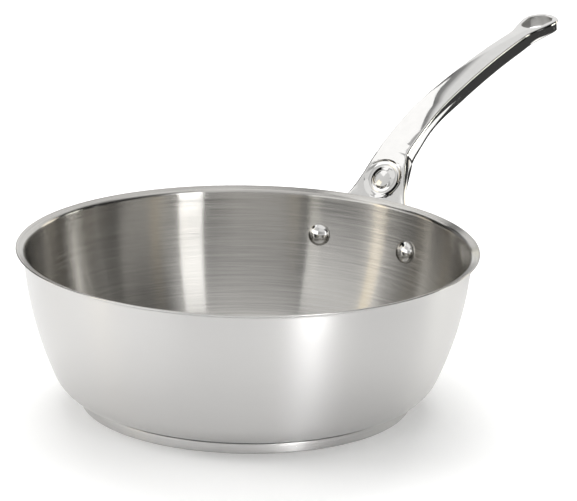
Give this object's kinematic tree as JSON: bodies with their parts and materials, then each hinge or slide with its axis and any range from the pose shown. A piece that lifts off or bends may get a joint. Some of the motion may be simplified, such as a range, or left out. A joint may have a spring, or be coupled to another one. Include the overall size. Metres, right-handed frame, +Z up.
{
  "type": "saute pan",
  "caption": "Deep round steel saute pan with curved walls, a flared pouring lip, a bonded heat-spreading base and a long riveted cast handle ending in a hanging eye.",
  "frame": {"origin": "centre of the flat underside of the base, on the table", "axes": "+Z up along the axis of the bowl, +X out along the handle"},
  "size_m": [0.4247, 0.24, 0.1537],
  "materials": {
    "drawn_steel": "satin outside, circular brushed inside",
    "base_steel": "circular brushed",
    "core_aluminium": "plain rolled",
    "cast_steel": "mirror polished casting",
    "rivet_steel": "mirror polished"
  },
  "bodies": {
    "root": {"pan_body": "drawn_steel", "base_cap": "base_steel", "heat_spreader": "core_aluminium", "handle": "cast_steel", "rivet_left": "rivet_steel", "rivet_right": "rivet_steel"}
  },
  "joints": []
}
